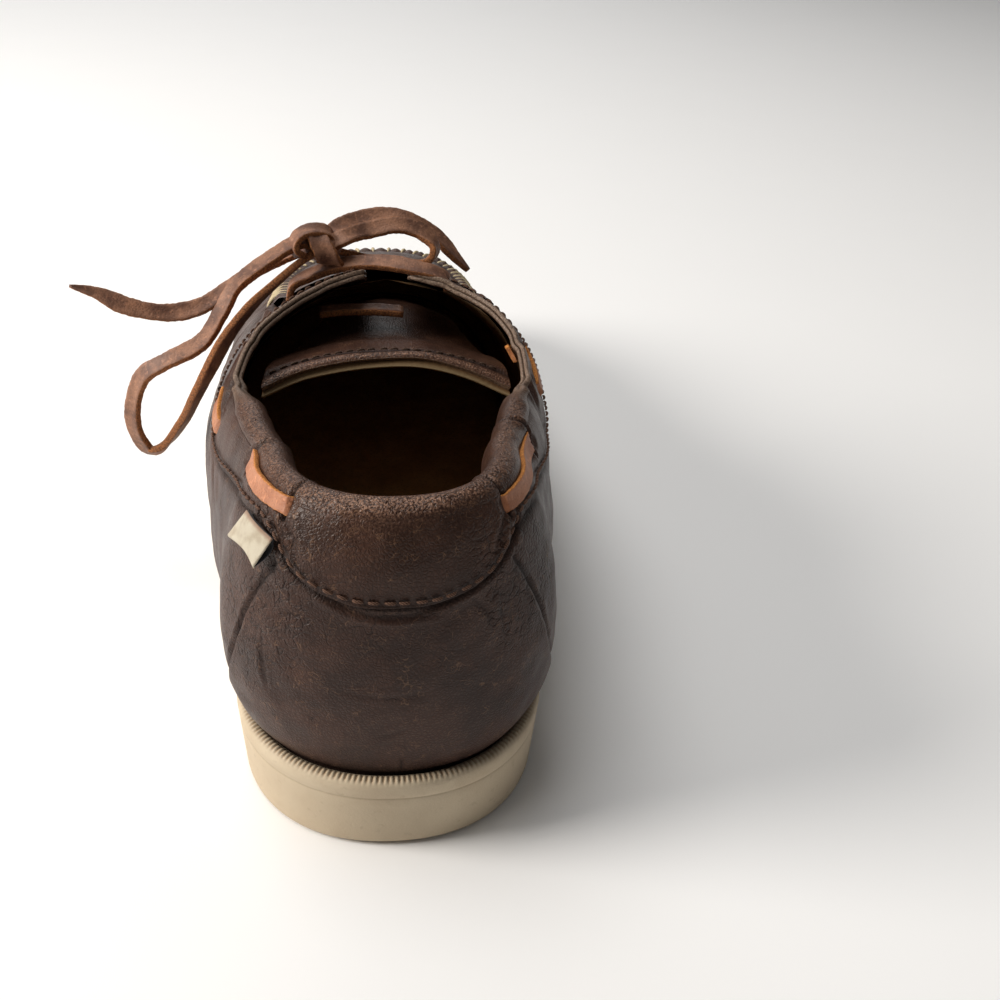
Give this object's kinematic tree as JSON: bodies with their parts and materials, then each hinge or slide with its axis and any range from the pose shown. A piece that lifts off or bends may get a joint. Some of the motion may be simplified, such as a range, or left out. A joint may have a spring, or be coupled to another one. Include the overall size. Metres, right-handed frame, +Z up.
{
  "type": "boat shoe",
  "caption": "Low leather boat shoe, left foot, with a moc toe, padded collar, side lacing, tied leather bow and a pale cup sole.",
  "frame": {"origin": "on the floor, under the middle of the heel, on the heel's flat spot", "axes": "+Z up, +Y from heel to toe, +X to the inner side of the left foot"},
  "size_m": [0.1365, 0.2915, 0.0998],
  "materials": {
    "sole_rubber": "matte pale tan cup sole, lightly soiled",
    "footbed_leather": "smooth worn tan leather",
    "upper_leather": "dark brown tumbled leather, satin",
    "tongue_leather": "dark brown leather, satin",
    "lace_leather": "brown rawhide lace with tan cut edges",
    "lace_leather_tan": "tan rawhide lace",
    "label_cloth": "woven cream label, plain"
  },
  "bodies": {
    "root": {"outsole": "sole_rubber", "insole": "footbed_leather", "upper": "upper_leather", "collar_pad": "upper_leather", "tongue": "tongue_leather", "apron": "upper_leather", "lace_bar_top": "lace_leather", "lace_bar_under": "lace_leather", "lace_window_outer_rear": "lace_leather_tan", "lace_window_outer_front": "lace_leather_tan", "lace_window_inner_rear": "lace_leather_tan", "lace_window_inner_front": "lace_leather_tan", "lace_knot": "lace_leather", "lace_loop_left": "lace_leather", "lace_loop_right": "lace_leather", "lace_end_left": "lace_leather", "lace_end_right": "lace_leather", "side_tab": "label_cloth"}
  },
  "joints": []
}
